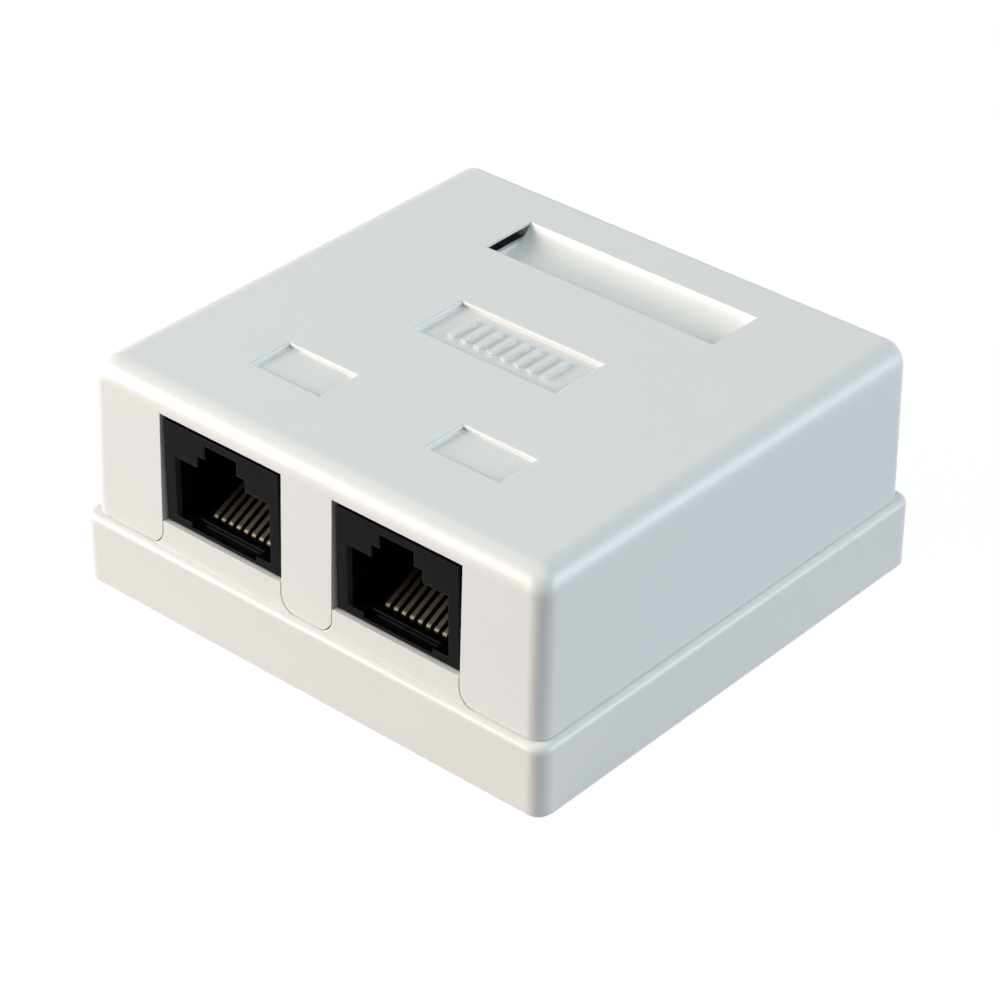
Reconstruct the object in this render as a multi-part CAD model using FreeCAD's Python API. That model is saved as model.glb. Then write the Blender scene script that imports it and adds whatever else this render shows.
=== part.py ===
import FreeCAD, Part
import math
import os

# Surface mount jack box with two modular eight-contact ports side by side.
# A base screws to the wall and carries a circuit board on posts. The board carries two
# jacks and two punch-down blocks. A clip-on cover stands on the base's ledge.
# Millimetres. +X right, -Y towards the ports, +Z up, origin at the middle of the underside.

# Jacks
jack_width = 15.2
jack_height = 11.4
jack_depth = 18.0
port_pitch = 22.6
plug_width = 11.9
plug_height = 6.8
plug_depth = 13.5
plug_floor = 0.9
tab_width = 6.3
tab_height = 1.35
latch_width = 4.2
latch_height = 1.55
latch_depth = 11.0
mouth_chamfer = 0.35
lip_window_width = 8.6
lip_setback = 1.15
lip_web = 0.35
peg_radius = 1.2
peg_length = 2.2
peg_spread = 12.2
peg_setback = 8.9

# Contact wires in the jacks
contacts_per_port = 8
contact_pitch = 1.02
wire_thickness = 0.3
wire_width = 0.5
wire_run_height = 0.2
wire_nose = 2.9
wire_nose_radius = 0.35
wire_pin_radius = 0.4
wire_rise_deg = 26.0
wire_tip = 11.4
wire_pin_row = 14.3
wire_row_gap = 2.54
pin_length = 2.6
pin_hole_radius = 0.45

# Contact carriers
carrier_width = 9.4
carrier_gap = 0.1
carrier_block_height = 7.6
comb_depth = 2.7
comb_rise = 4.6
comb_slot_width = 0.62
comb_slot_depth = 1.5

# Punch-down blocks
idc_gap = 1.0
idc_length = 14.4
idc_width = 14.4
idc_deck = 3.0
idc_drop = 0.8
idc_row_spacing = 9.2
idc_row_thickness = 3.8
idc_pitch = 3.2
idc_slots = 4
idc_slot_width = 1.2
idc_slot_floor = 4.6
idc_taper = 0.9
idc_mouth = 0.45

# Punch-down contacts
blade_thickness = 0.5
blade_width = 2.4
blade_below_top = 1.0
blade_slit = 0.36
blade_slit_floor = 4.9
blade_pocket_gap = 0.1
blade_pin_width = 0.8
blade_hole_radius = 0.55

# Circuit board and its screws
board_thickness = 1.6
board_clearance = 7.45
board_side_margin = 1.6
board_front_setback = 3.0
board_rear_margin = 3.2
board_corner = 1.0
board_screw_inset = 3.7
board_screw_shank = 1.05
board_screw_head = 2.3
board_screw_head_height = 1.6
board_screw_rim = 0.7
board_screw_crown = 1.3
board_screw_hole = 1.45
board_screw_reach = 5.6
board_screw_clearance = 0.05
screw_cross_width = 0.6
screw_cross_depth = 0.8
post_radius = 1.7
post_inset = 1.9
locating_pin_radius = 0.8
locating_pin_gap = 0.15
boss_radius = 2.7

# Case
side_room = 11.1
jack_setback = 1.4
rear_room = 22.2
header = 2.6
rim_height = 7.9
ledge = 0.85
rim_wall = 2.4
well_corner = 0.9
floor_thickness = 2.0
corner_radius = 1.75
rim_edge = 0.75
foot_edge = 0.3
cover_wall = 1.8
top_thickness = 2.0
front_draft_deg = 1.9
side_draft_deg = 0.5
top_radius = 2.5
back_top_radius = 1.2
seam_relief = 0.15
inner_radius = 0.7

# Port openings and the base's tongues under them
port_side_gap = 0.45
port_top_gap = 0.45
port_bottom_gap = 0.2
tongue_wall = 1.5
tongue_root_radius = 1.9
seam_gap = 0.12

# Snap hooks, catches and locating lips
catch_depth = 0.8
catch_height = 1.2
catch_rise = 3.4
catch_slope = 0.35
hook_gap = 0.3
hook_wall = 1.4
hook_width = 6.0
hook_barb_height = 1.8
hook_spacing = 20.0
lip_gap = 0.2
lip_wall = 1.2
lip_rise = 2.0
lip_chamfer = 0.4
side_lip_length = 7.0
side_lip_spacing = 39.0
rear_lip_length = 11.0
rear_lip_spacing = 35.0

# Wall screw holes
wall_hole_spacing = 32.0
wall_hole_rear_inset = 9.5
wall_hole_radius = 2.1
wall_hole_pad = 4.6
wall_hole_pad_height = 1.3
countersink_radius = 3.6
access_hole_radius = 3.55

# Cable ways
entry_width = 10.0
entry_height = 6.6
floor_entry_width = 15.0
floor_entry_depth = 9.0
floor_entry_x = -13.0
floor_entry_rear_inset = 10.2
floor_entry_corner = 2.0
tie_anchor_width = 6.4
tie_anchor_depth = 3.0
tie_anchor_height = 4.2
tie_slot_width = 3.6
tie_slot_height = 1.8
tie_anchor_xs = (9.0, 18.0)
pad_recess_depth = 0.5
pad_recess_width = 15.0
pad_recess_length = 30.0
pad_recess_spacing = 33.0
pad_recess_front_inset = 8.0

# Recesses in the cover's top
icon_width = 8.9
icon_length = 5.1
icon_front_inset = 10.85
icon_offset = -0.4
icon_depth = 0.5
recess_edge = 0.25
plate_width = 18.1
plate_length = 7.05
plate_front_inset = 26.1
plate_depth = 0.6
plate_ribs = 8
plate_rib_pitch = 1.7
plate_rib_width = 0.7
plate_rib_length = 3.6
plate_rib_height = 0.35
label_width = 29.4
label_length = 7.0
label_rear_inset = 7.0
label_depth = 1.9
label_sweep_deg = 62.0
label_wall = 1.3
label_skin = 0.25
label_slot = 2.0
label_sill = 0.3
label_sill_wall = 0.5
hold_rib_width = 1.2
hold_rib_length = 12.0
hold_rib_gap = 0.3

# Worked out from the sizes above
case_width = port_pitch + jack_width + 2 * side_room
case_depth = jack_setback + jack_depth + idc_gap + idc_length + rear_room
front_y = -case_depth / 2
back_y = case_depth / 2
board_under = floor_thickness + board_clearance
board_top = board_under + board_thickness
port_top = board_top + jack_height + port_top_gap
port_bottom = board_top - port_bottom_gap
port_width = jack_width + 2 * port_side_gap
case_height = port_top + header
inner_top = case_height - top_thickness
jack_face_y = front_y + jack_setback
idc_y = jack_face_y + jack_depth + idc_gap + idc_length / 2
idc_height = jack_height - idc_drop
blade_top = idc_height - blade_below_top
port_xs = {"left": -port_pitch / 2, "right": port_pitch / 2}
board_x = port_pitch / 2 + jack_width / 2 + board_side_margin
board_front = front_y + board_front_setback
board_back = idc_y + idc_length / 2 + board_rear_margin
board_screw_ys = (board_front + board_screw_inset, idc_y)
wall_hole_ys = (back_y - wall_hole_rear_inset - wall_hole_spacing, back_y - wall_hole_rear_inset)
post_xs = (-board_x + post_inset, board_x - post_inset)
post_ys = (board_front + post_inset, board_back - post_inset)
contact_us = [(i - (contacts_per_port - 1) / 2) * contact_pitch for i in range(contacts_per_port)]
slot_ys = [(i - (idc_slots - 1) / 2) * idc_pitch for i in range(idc_slots)]
row_us = (-idc_row_spacing / 2, idc_row_spacing / 2)
plate_rib_xs = [(i - (plate_ribs - 1) / 2) * plate_rib_pitch for i in range(plate_ribs)]
cover_inner = ledge + cover_wall
catch_low = rim_height + catch_rise
catch_high = catch_low + catch_height
catch_tip = cover_inner + catch_depth
hook_tip = catch_tip + hook_gap
clear = 1.0
sliver = 0.01


def vector(x, y, z):
    """Point or direction in millimetres."""
    return FreeCAD.Vector(x, y, z)


def block(x, y, z):
    """Box between a low and a high value along each axis."""
    return Part.makeBox(x[1] - x[0], y[1] - y[0], z[1] - z[0], vector(x[0], y[0], z[0]))


def around(centre, size):
    """Low and high value of a size centred on a place."""
    return (centre - size / 2, centre + size / 2)


def rod(x, y, z, radius):
    """Upright cylinder between two heights."""
    return Part.makeCylinder(radius, z[1] - z[0], vector(x, y, z[0]))


def pin_hole(x, y, z, radius):
    """Upright six-sided cutter for a soldered pin."""
    corners = [math.radians(60 * i) for i in range(6)]
    outline = [vector(x + radius * math.cos(turn), y + radius * math.sin(turn), z[0]) for turn in corners]
    return extruded(outline, vector(0, 0, z[1] - z[0]))


def moved(shape, x, y, z):
    """Copy of a shape moved by a distance along each axis."""
    copy = shape.copy()
    copy.translate(vector(x, y, z))
    return copy


def extruded(points, direction):
    """Solid from a flat closed outline, pushed along a direction."""
    outline = Part.makePolygon(points + [points[0]])
    return Part.Face(outline).extrude(direction)


def edges_along(shape, axis, tolerance=0.002):
    """Straight edges of a shape that run along an axis, give or take a few degrees of draft."""
    found = []
    for edge in shape.Edges:
        if isinstance(edge.Curve, Part.Line) and edge.Length > 0:
            run = edge.Vertexes[1].Point.sub(edge.Vertexes[0].Point)
            if abs(run.dot(axis)) > (1 - tolerance) * run.Length:
                found.append(edge)
    return found


def rounded_block(x, y, z, radius):
    """Box with its four upright edges rounded."""
    body = block(x, y, z)
    return body.makeFillet(radius, edges_along(body, vector(0, 0, 1)))


def fused(shapes):
    """One solid from pieces that touch or overlap, with shared faces merged."""
    body = shapes[0]
    if len(shapes) > 1:
        body = body.multiFuse(shapes[1:])
    return body.removeSplitter()


# ---- case surfaces -------------------------------------------------------------------------


def cover_front_at(z):
    """Where the cover's leaning front face is at a height."""
    return front_y + ledge + (z - rim_height) * math.tan(math.radians(front_draft_deg))


def cover_corners(z, inset):
    """Corners of the cover's outline at a height, moved inwards by an inset."""
    lean = (z - rim_height) * math.tan(math.radians(side_draft_deg))
    half = case_width / 2 - ledge - lean - inset
    front = cover_front_at(z) + inset
    back = back_y - ledge - lean - inset
    return [vector(-half, front, z), vector(half, front, z), vector(half, back, z), vector(-half, back, z)]


def cover_block(low, high, inset):
    """Solid between two heights with the cover's drafted sides, moved inwards by an inset."""
    foot = cover_corners(low, inset)
    crown = cover_corners(high, inset)
    outlines = [foot[::-1], crown]
    for i in range(4):
        j = (i + 1) % 4
        outlines.append([foot[i], foot[j], crown[j], crown[i]])
    shell = Part.makeShell([Part.Face(Part.makePolygon(points + points[:1])) for points in outlines])
    shell.sewShape()
    return Part.Solid(shell)


def along_wall(profile, wall, centre, length):
    """Solid with a constant section along one wall. The profile is (inset from the case's face, z)."""
    if wall == "back":
        points = [vector(centre - length / 2, back_y - inset, z) for inset, z in profile]
        return extruded(points, vector(length, 0, 0))
    points = [vector(case_width / 2 - inset, centre - length / 2, z) for inset, z in profile]
    body = extruded(points, vector(0, length, 0))
    if wall == "left":
        body = body.mirror(vector(0, 0, 0), vector(1, 0, 0))
    return body


def port_outline(x, top, gap):
    """Front outline of a port's notch down to the ledge. A gap draws the tongue that fills it."""
    half = port_width / 2 - gap
    centre_x = port_width / 2 + tongue_root_radius
    centre_z = rim_height + tongue_root_radius
    root = tongue_root_radius + gap
    low = rim_height - tongue_root_radius / 2
    reach = root * math.cos(math.radians(45))

    def point(u, z):
        return vector(x + u, 0, z)

    right_arc = Part.Arc(point(half, centre_z), point(centre_x - reach, centre_z - reach),
                         point(centre_x, centre_z - root))
    left_arc = Part.Arc(point(-centre_x, centre_z - root), point(reach - centre_x, centre_z - reach),
                        point(-half, centre_z))
    edges = [
        Part.makeLine(point(-half, top), point(half, top)),
        Part.makeLine(point(half, top), point(half, centre_z)),
        right_arc.toShape(),
        Part.makeLine(point(centre_x, centre_z - root), point(centre_x, low)),
        Part.makeLine(point(centre_x, low), point(-centre_x, low)),
        Part.makeLine(point(-centre_x, low), point(-centre_x, centre_z - root)),
        left_arc.toShape(),
        Part.makeLine(point(-half, centre_z), point(-half, top)),
    ]
    return Part.Face(Part.Wire(edges))


# ---- base ----------------------------------------------------------------------------------


def tongue(x):
    """Upright tongue under a port, in line with the cover's leaning front, with flared roots."""
    low = rim_height - tongue_root_radius / 2
    prism = port_outline(x, port_bottom, seam_gap).extrude(vector(0, case_depth / 2, 0))
    prism.translate(vector(0, front_y, 0))
    section = [
        vector(x - port_width, cover_front_at(low), low),
        vector(x - port_width, cover_front_at(port_bottom + clear), port_bottom + clear),
        vector(x - port_width, cover_front_at(port_bottom + clear) + tongue_wall, port_bottom + clear),
        vector(x - port_width, cover_front_at(low) + tongue_wall, low),
    ]
    return prism.common(extruded(section, vector(2 * port_width, 0, 0)))


def snap_hook(wall, y):
    """Springy arm on the floor with an outward barb over the cover's catch."""
    face = hook_tip + catch_depth
    barb_low = catch_high + hook_gap
    barb_high = barb_low + hook_barb_height
    profile = [
        (face + hook_wall, floor_thickness - clear),
        (face + hook_wall, barb_high),
        (face + catch_slope, barb_high),
        (hook_tip, barb_low + catch_slope),
        (hook_tip, barb_low),
        (face, barb_low),
        (face, floor_thickness - clear),
    ]
    return along_wall(profile, wall, y, hook_width)


def locating_lip(wall, centre, length):
    """Upstand inside the rim that keeps the cover's wall in place."""
    outer = cover_inner + lip_gap
    inner = outer + lip_wall
    top = rim_height + lip_rise
    profile = [
        (rim_wall - clear, floor_thickness - clear),
        (inner, floor_thickness - clear),
        (inner, top),
        (outer + lip_chamfer, top),
        (outer, top - lip_chamfer),
        (outer, rim_height),
        (rim_wall - clear, rim_height),
    ]
    return along_wall(profile, wall, centre, length)


def tie_anchor(x):
    """Small bridge on the floor that a cable tie goes through."""
    y = wall_hole_ys[1]
    high = floor_thickness + tie_anchor_height
    bridge = block(around(x, tie_anchor_width), around(y, tie_anchor_depth), (floor_thickness - clear, high))
    crown = edges_along(bridge, vector(0, 1, 0))
    bridge = bridge.makeFillet(lip_chamfer, [edge for edge in crown if edge.BoundBox.ZMin > floor_thickness])
    slot_z = (floor_thickness, floor_thickness + tie_slot_height)
    return bridge.cut(block(around(x, tie_slot_width), around(y, 2 * tie_anchor_depth), slot_z))


def make_base():
    """Tray with a stepped rim, tongues, snap hooks, board posts, wall screw holes and cable ways."""
    outer = rounded_block((-case_width / 2, case_width / 2), (front_y, back_y), (0, rim_height), corner_radius)
    rim_edges = [edge for edge in outer.Edges if edge.BoundBox.ZMin > rim_height - sliver]
    outer = outer.makeFillet(rim_edge, rim_edges)
    foot_edges = [edge for edge in outer.Edges if edge.BoundBox.ZMax < sliver]
    outer = outer.makeChamfer(foot_edge, foot_edges)
    well = rounded_block((rim_wall - case_width / 2, case_width / 2 - rim_wall),
                         (front_y + rim_wall, back_y - rim_wall),
                         (floor_thickness, rim_height + clear), well_corner)
    parts = [outer.cut(well)]
    parts += [tongue(x) for x in port_xs.values()]
    for wall in ("left", "right"):
        for side in (-1, 1):
            parts.append(snap_hook(wall, side * hook_spacing / 2))
            parts.append(locating_lip(wall, side * side_lip_spacing / 2, side_lip_length))
    parts += [locating_lip("back", side * rear_lip_spacing / 2, rear_lip_length) for side in (-1, 1)]
    parts += [tie_anchor(x) for x in tie_anchor_xs]
    for x in post_xs:
        for y in post_ys:
            parts.append(rod(x, y, (floor_thickness - clear, board_under), post_radius))
            parts.append(rod(x, y, (floor_thickness - clear, board_top), locating_pin_radius))
    for y in board_screw_ys:
        parts.append(rod(0, y, (floor_thickness - clear, board_under), boss_radius))
    pad_high = floor_thickness + wall_hole_pad_height
    for y in wall_hole_ys:
        parts.append(rod(0, y, (0, pad_high), wall_hole_pad))
    base = fused(parts)

    cuts = []
    sink_low = pad_high - (countersink_radius - wall_hole_radius)
    for y in wall_hole_ys:
        cuts.append(rod(0, y, (-clear, pad_high + clear), wall_hole_radius))
        cuts.append(Part.makeCone(wall_hole_radius, countersink_radius, pad_high - sink_low, vector(0, y, sink_low)))
    for y in board_screw_ys:
        pilot_low = board_under - board_screw_reach - board_screw_clearance
        cuts.append(rod(0, y, (pilot_low, board_under + clear), board_screw_shank + board_screw_clearance))
    entry_y = back_y - floor_entry_rear_inset
    cuts.append(rounded_block(around(floor_entry_x, floor_entry_width), around(entry_y, floor_entry_depth),
                              (-clear, floor_thickness + clear), floor_entry_corner))
    recess_y = front_y + pad_recess_front_inset + pad_recess_length / 2
    for side in (-1, 1):
        cuts.append(rounded_block(around(side * pad_recess_spacing / 2, pad_recess_width),
                                  around(recess_y, pad_recess_length),
                                  (-clear, pad_recess_depth), floor_entry_corner))
    return base.cut(cuts)


# ---- cover ---------------------------------------------------------------------------------


def rounded_shell(body):
    """Cover body with round upright corners, a round top edge and a tighter one at the back."""
    document = FreeCAD.newDocument("cover_edges")
    source = document.addObject("Part::Feature", "body")
    source.Shape = body
    rounding = document.addObject("Part::Fillet", "rounding")
    rounding.Base = source
    chosen = []
    for number, edge in enumerate(body.Edges, 1):
        box = edge.BoundBox
        if box.ZLength > clear:
            chosen.append((number, corner_radius, corner_radius))
        elif box.ZMin > rim_height + clear:
            radius = back_top_radius if box.YMin > 0 else top_radius
            chosen.append((number, radius, radius))
    rounding.Edges = chosen
    document.recompute()
    shape = rounding.Shape.copy()
    FreeCAD.closeDocument(document.Name)
    return shape


def label_outline(extra):
    """Section of the label recess across the cover. An extra draws the tray wall around it."""
    high = back_y - label_rear_inset
    low = high - label_length
    floor = case_height - label_depth
    return low - extra, high + extra, floor - extra


def label_recess():
    """Cutter for the label recess: flat floor that sweeps up to the rear edge."""
    low, high, floor = label_outline(0)
    x = -label_width / 2
    sweep = math.radians(label_sweep_deg)
    radius = label_depth / (1 - math.cos(sweep))
    start = high - radius * math.sin(sweep)

    def swept(turn):
        return vector(x, start + radius * math.sin(turn), floor + radius * (1 - math.cos(turn)))

    edges = [
        Part.makeLine(vector(x, low, case_height + clear), vector(x, low, floor)),
        Part.makeLine(vector(x, low, floor), swept(0)),
        Part.Arc(swept(0), swept(sweep / 2), swept(sweep)).toShape(),
        Part.makeLine(swept(sweep), vector(x, high, case_height + clear)),
        Part.makeLine(vector(x, high, case_height + clear), vector(x, low, case_height + clear)),
    ]
    return Part.Face(Part.Wire(edges)).extrude(vector(label_width, 0, 0))


def with_eased_rims(cover, recesses):
    """Cover with a small round along the rims of its shallow recesses, each given as an x and a y range."""
    rims = []
    for edge in cover.Edges:
        box = edge.BoundBox
        for x, y in recesses:
            within_x = box.XMin > x[0] - sliver and box.XMax < x[1] + sliver
            within_y = box.YMin > y[0] - sliver and box.YMax < y[1] + sliver
            if within_x and within_y and box.ZMin > case_height - sliver:
                rims.append(edge)
    return cover.makeFillet(recess_edge, rims)


def catch(wall, y):
    """Bead inside the cover's side wall that the hook's barb holds."""
    root = cover_inner - cover_wall / 2
    profile = [
        (root, catch_low - catch_slope),
        (catch_tip, catch_low),
        (catch_tip, catch_high),
        (root, catch_high),
    ]
    return along_wall(profile, wall, y, hook_width)


def entry_arch():
    """Cutter for the arched cable entry in the cover's rear wall."""
    y = back_y - cover_inner - clear
    radius = entry_width / 2
    spring = rim_height + entry_height - radius
    arch = Part.makeCylinder(radius, cover_inner + 2 * clear, vector(0, y, spring), vector(0, 1, 0))
    return arch.fuse(block(around(0, entry_width), (y, back_y + clear), (rim_height - clear, spring)))


def make_cover():
    """Drafted hollow lid with port notches, top recesses, a label tray, catches and ribs over the jacks."""
    shell = rounded_shell(cover_block(rim_height, case_height, 0))
    foot_edges = [edge for edge in shell.Edges if edge.BoundBox.ZMax < rim_height + sliver]
    shell = shell.makeChamfer(seam_relief, foot_edges)
    hollow = cover_block(rim_height - clear, inner_top, cover_wall)
    upright = edges_along(hollow, vector(0, 0, 1))
    crown = [edge for edge in hollow.Edges if edge.BoundBox.ZMin > inner_top - sliver]
    shell = shell.cut(hollow.makeFillet(inner_radius, upright + crown))

    notch_depth = ledge + cover_wall + (case_height - rim_height) * math.tan(math.radians(front_draft_deg))
    for x in port_xs.values():
        notch = port_outline(x, port_top, 0).extrude(vector(0, notch_depth + 2 * clear, 0))
        shell = shell.cut(moved(notch, 0, front_y - clear, 0))
    shell = shell.cut(entry_arch())

    low, high, floor = label_outline(label_wall)
    tray_x = (-label_width / 2 - label_sill_wall, label_width / 2 + label_wall)
    parts = [shell, block(tray_x, (low, high), (floor, inner_top + clear / 2))]
    for wall in ("left", "right"):
        parts += [catch(wall, side * hook_spacing / 2) for side in (-1, 1)]
    hold_y = jack_face_y + jack_depth / 2
    hold_z = (board_top + jack_height + hold_rib_gap, inner_top + clear / 2)
    for x in port_xs.values():
        parts.append(block(around(x, hold_rib_width), around(hold_y, hold_rib_length), hold_z))
    cover = fused(parts)

    cuts = [label_recess()]
    low, high, floor = label_outline(0)
    slot_end = -label_width / 2 - label_slot
    slot_top = case_height - label_skin
    sill_x = -label_width / 2 - label_sill_wall
    cuts.append(block((slot_end, -label_width / 2 + sliver), (low, high), (floor + label_sill, slot_top)))
    cuts.append(block((slot_end, sill_x), (low, high), (inner_top - clear, slot_top)))
    icon_y = front_y + icon_front_inset + icon_length / 2
    icons = [(around(x + icon_offset, icon_width), around(icon_y, icon_length)) for x in port_xs.values()]
    cuts += [block(x, y, (case_height - icon_depth, case_height + clear)) for x, y in icons]
    plate_y = front_y + plate_front_inset + plate_length / 2
    plate_floor = case_height - plate_depth
    plate = (around(0, plate_width), around(plate_y, plate_length))
    rib_z = (plate_floor - clear, plate_floor + plate_rib_height)
    ribs = [block(around(x, plate_rib_width), around(plate_y, plate_rib_length), rib_z) for x in plate_rib_xs]
    cuts.append(block(*plate, (plate_floor, case_height + clear)).cut(ribs))
    return with_eased_rims(cover.cut(cuts), icons + [plate])


# ---- jack pieces, with x across the port, y back from the jack's face and z up from the board ----


def make_jack_housing():
    """Jack shell with a keyed plug opening, a recessed lower lip, pegs and a rear pocket."""
    half = jack_width / 2
    body = block((-half, half), (0, jack_depth), (0, jack_height))
    plug_top = plug_floor + plug_height
    tab_top = plug_top + tab_height
    latch_top = tab_top + latch_height
    cuts = [
        block(around(0, plug_width), (-clear, plug_depth), (plug_floor, plug_top)),
        block(around(0, tab_width), (-clear, plug_depth), (plug_top - clear, tab_top)),
        block(around(0, latch_width), (-clear, latch_depth), (tab_top - clear, latch_top)),
        block(around(0, lip_window_width), (-clear, lip_setback), (lip_web, plug_floor + clear)),
        block(around(0, carrier_width + 2 * carrier_gap), (wire_nose - wire_nose_radius - 2 * wire_thickness,
                                                           jack_depth + clear), (-clear, plug_floor + clear)),
        block(around(0, carrier_width + 2 * carrier_gap), (plug_depth - clear, jack_depth + clear),
              (-clear, carrier_block_height + carrier_gap)),
    ]
    mouth = [
        vector(-plug_width / 2 - mouth_chamfer, 0, plug_top),
        vector(-plug_width / 2, mouth_chamfer, plug_top),
        vector(-plug_width / 2, -mouth_chamfer, plug_top),
    ]
    flare = extruded(mouth, vector(0, 0, -plug_height))
    cuts += [flare, flare.mirror(vector(0, 0, 0), vector(1, 0, 0))]
    body = body.cut(cuts)
    pegs = [rod(side * peg_spread / 2, peg_setback, (-peg_length, clear / 2), peg_radius) for side in (-1, 1)]
    return fused([body] + pegs)


def strip_side(points, radii, offset):
    """Edges of one side of a bent strip, at an offset to the left of its centre line in the YZ plane."""
    edges = []
    runs = [(after - before).normalize() for before, after in zip(points, points[1:])]
    lefts = [vector(0, -run.z, run.y) for run in runs]
    start = points[0] + lefts[0] * offset
    for i, radius in enumerate(radii, 1):
        turn = runs[i - 1].getAngle(runs[i])
        side = 1 if lefts[i - 1].dot(runs[i]) > 0 else -1
        reach = radius * math.tan(turn / 2)
        centre = points[i] - runs[i - 1] * reach + lefts[i - 1] * (side * radius)
        bend_radius = radius - side * offset
        first = centre - lefts[i - 1] * (side * bend_radius)
        middle = centre + (points[i] - centre).normalize() * bend_radius
        last = centre - lefts[i] * (side * bend_radius)
        edges.append(Part.makeLine(start, first))
        edges.append(Part.Arc(first, middle, last).toShape())
        start = last
    end = points[-1] + lefts[-1] * offset
    edges.append(Part.makeLine(start, end))
    return edges, points[0] + lefts[0] * offset, end


def make_contact_wire(index):
    """Bent spring contact: solder pin, run under the carrier, turn round its nose and rising tip."""
    u = contact_us[index]
    pin_y = wire_pin_row + wire_row_gap * (index % 2)
    rise = math.radians(wire_rise_deg)
    corner_y = wire_nose - wire_nose_radius / math.tan(rise / 2)
    tip_z = wire_run_height + (wire_tip - corner_y) * math.tan(rise)
    x = u - wire_width / 2
    points = [
        vector(x, pin_y, -pin_length),
        vector(x, pin_y, wire_run_height),
        vector(x, corner_y, wire_run_height),
        vector(x, wire_tip, tip_z),
    ]
    radii = (wire_pin_radius, wire_nose_radius)
    one, one_start, one_end = strip_side(points, radii, wire_thickness / 2)
    two, two_start, two_end = strip_side(points, radii, -wire_thickness / 2)
    edges = one + [Part.makeLine(one_end, two_end)] + two + [Part.makeLine(two_start, one_start)]
    outline = Part.Wire(Part.__sortEdges__(edges))
    return Part.Face(outline).extrude(vector(wire_width, 0, 0))


def make_contact_carrier():
    """Insert that the contact wires wrap round: grooved floor plate, comb and rear block."""
    nose_y = wire_nose + 2 * carrier_gap
    plate_top = plug_floor - carrier_gap
    groove_top = wire_run_height + wire_thickness / 2
    rear = jack_depth - carrier_gap
    comb_y = (plug_depth - comb_depth, plug_depth + carrier_gap)
    parts = [
        block(around(0, carrier_width), (nose_y, rear), (0, plate_top)),
        block(around(0, carrier_width), comb_y, (plate_top - carrier_gap, plug_floor + comb_rise)),
        block(around(0, carrier_width), (plug_depth + carrier_gap, rear), (0, carrier_block_height)),
    ]
    body = fused(parts)
    cuts = []
    for index, u in enumerate(contact_us):
        pin_y = wire_pin_row + wire_row_gap * (index % 2)
        width = wire_width + carrier_gap
        cuts.append(block(around(u, width), (nose_y - clear, pin_y + wire_thickness), (-clear, groove_top)))
        cuts.append(block(around(u, comb_slot_width), (comb_y[0] - clear, comb_y[0] + comb_slot_depth),
                          (plate_top, plug_floor + comb_rise + clear)))
    return body.cut(cuts)


# ---- punch-down pieces, with x across the port, y from the block's middle and z up from the board ----


def idc_row(u):
    """Wall of a punch-down block with tapered top edges and one wire slot for each contact."""
    half = idc_row_thickness / 2
    ridge = half - idc_taper
    section = [
        vector(u - half, -idc_length / 2, 0),
        vector(u + half, -idc_length / 2, 0),
        vector(u + half, -idc_length / 2, idc_height - idc_taper),
        vector(u + ridge, -idc_length / 2, idc_height),
        vector(u - ridge, -idc_length / 2, idc_height),
        vector(u - half, -idc_length / 2, idc_height - idc_taper),
    ]
    wall = extruded(section, vector(0, idc_length, 0))
    cuts = []
    for y in slot_ys:
        slot_half = idc_slot_width / 2
        slot = [
            vector(u - idc_row_thickness, y - slot_half, idc_slot_floor),
            vector(u - idc_row_thickness, y + slot_half, idc_slot_floor),
            vector(u - idc_row_thickness, y + slot_half, idc_height - idc_taper),
            vector(u - idc_row_thickness, y + slot_half + idc_mouth, idc_height + clear / 2),
            vector(u - idc_row_thickness, y - slot_half - idc_mouth, idc_height + clear / 2),
            vector(u - idc_row_thickness, y - slot_half, idc_height - idc_taper),
        ]
        cuts.append(extruded(slot, vector(2 * idc_row_thickness, 0, 0)))
        pocket_top = blade_top + blade_pocket_gap
        cuts.append(block(around(u, blade_thickness + 2 * blade_pocket_gap),
                          around(y, blade_width + 2 * blade_pocket_gap), (-clear, pocket_top)))
    return wall, cuts


def make_idc_block():
    """Punch-down block with two rows of wire slots on one deck."""
    rows = [idc_row(u) for u in row_us]
    deck = block(around(0, idc_width), around(0, idc_length), (0, idc_deck))
    body = fused([deck] + [wall for wall, cuts in rows])
    for wall, cuts in rows:
        body = body.cut(cuts)
    return body


def make_idc_contact(u, y):
    """Forked blade with a wire slit at the top and a solder pin below."""
    half = blade_width / 2
    slit = blade_slit / 2
    pin = blade_pin_width / 2
    x = u - blade_thickness / 2
    outline = [
        (-pin, -pin_length),
        (pin, -pin_length),
        (pin, 0),
        (half, 0),
        (half, blade_top - slit),
        (half - slit, blade_top),
        (2 * slit, blade_top),
        (slit, blade_top - 2 * slit),
        (slit, blade_slit_floor),
        (-slit, blade_slit_floor),
        (-slit, blade_top - 2 * slit),
        (-2 * slit, blade_top),
        (slit - half, blade_top),
        (-half, blade_top - slit),
        (-half, 0),
        (-pin, 0),
    ]
    return extruded([vector(x, y + across, z) for across, z in outline], vector(blade_thickness, 0, 0))


# ---- circuit board and its screws ----------------------------------------------------------


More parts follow.
